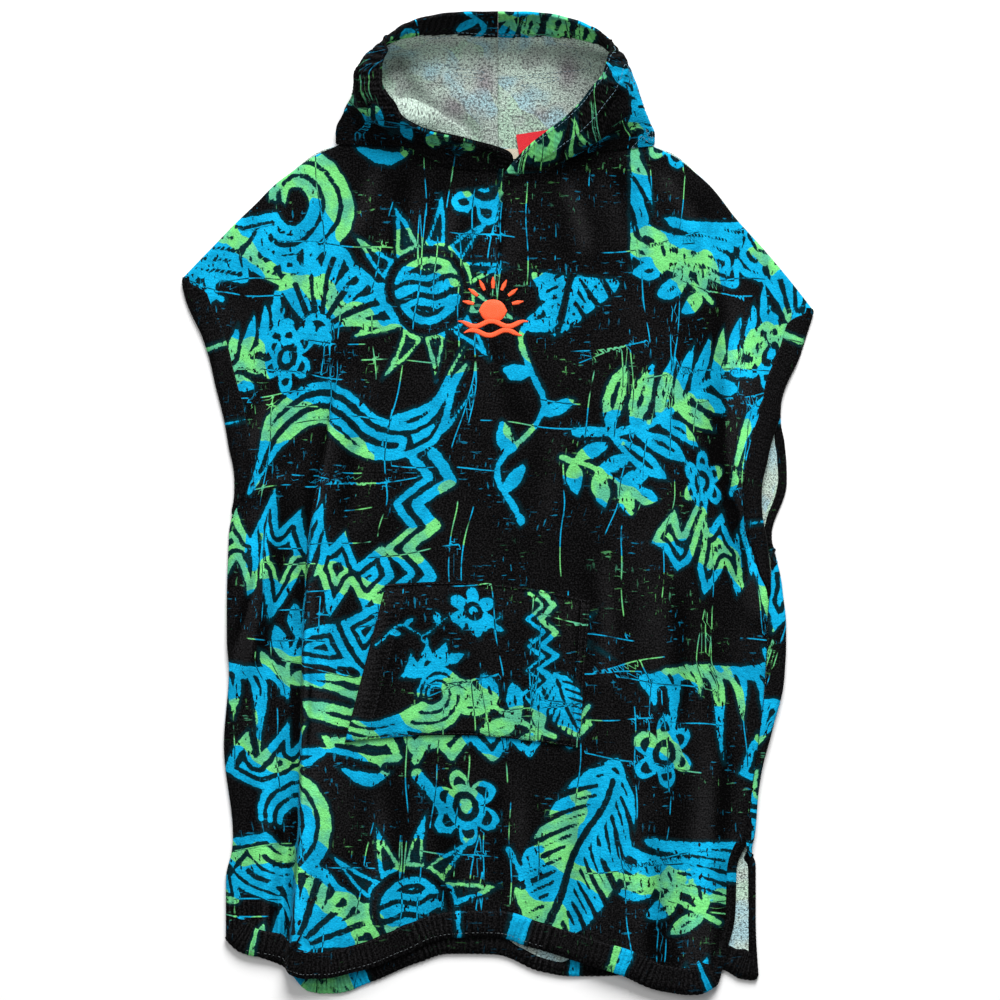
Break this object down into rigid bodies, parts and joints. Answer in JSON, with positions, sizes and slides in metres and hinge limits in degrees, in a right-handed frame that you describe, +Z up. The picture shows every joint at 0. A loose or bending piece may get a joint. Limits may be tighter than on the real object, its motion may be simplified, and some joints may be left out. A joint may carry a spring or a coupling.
{
  "type": "hooded bath poncho",
  "caption": "Child's hooded bath poncho in printed terry velour, laid flat on its back: sleeveless body with open armholes and side slits, kangaroo pocket and open hood",
  "frame": {"origin": "Middle of the laid garment's footprint, on the surface that it lies on", "axes": "+X to the right for someone looking down on the front, +Y from the hem to the hood, +Z up from the surface"},
  "size_m": [0.63, 0.9796, 0.0622],
  "materials": {
    "terry_front": "sheared terry velour, black ground with cyan blue and lime green print",
    "terry_back": "sheared terry velour, black ground with cyan blue and lime green print, pale looped inside",
    "terry_hood": "sheared terry velour outside, pale grey-green looped terry inside",
    "terry_pocket": "sheared terry velour, printed, edges turned and double stitched",
    "cotton_tape": "beige cotton herringbone tape",
    "woven_label": "plain red woven tab"
  },
  "bodies": {
    "root": {"front_panel": "terry_front", "back_panel": "terry_back", "hood_left": "terry_hood", "hood_right": "terry_hood", "kangaroo_pocket": "terry_pocket", "neck_tape": "cotton_tape", "neck_label": "woven_label"}
  },
  "joints": []
}
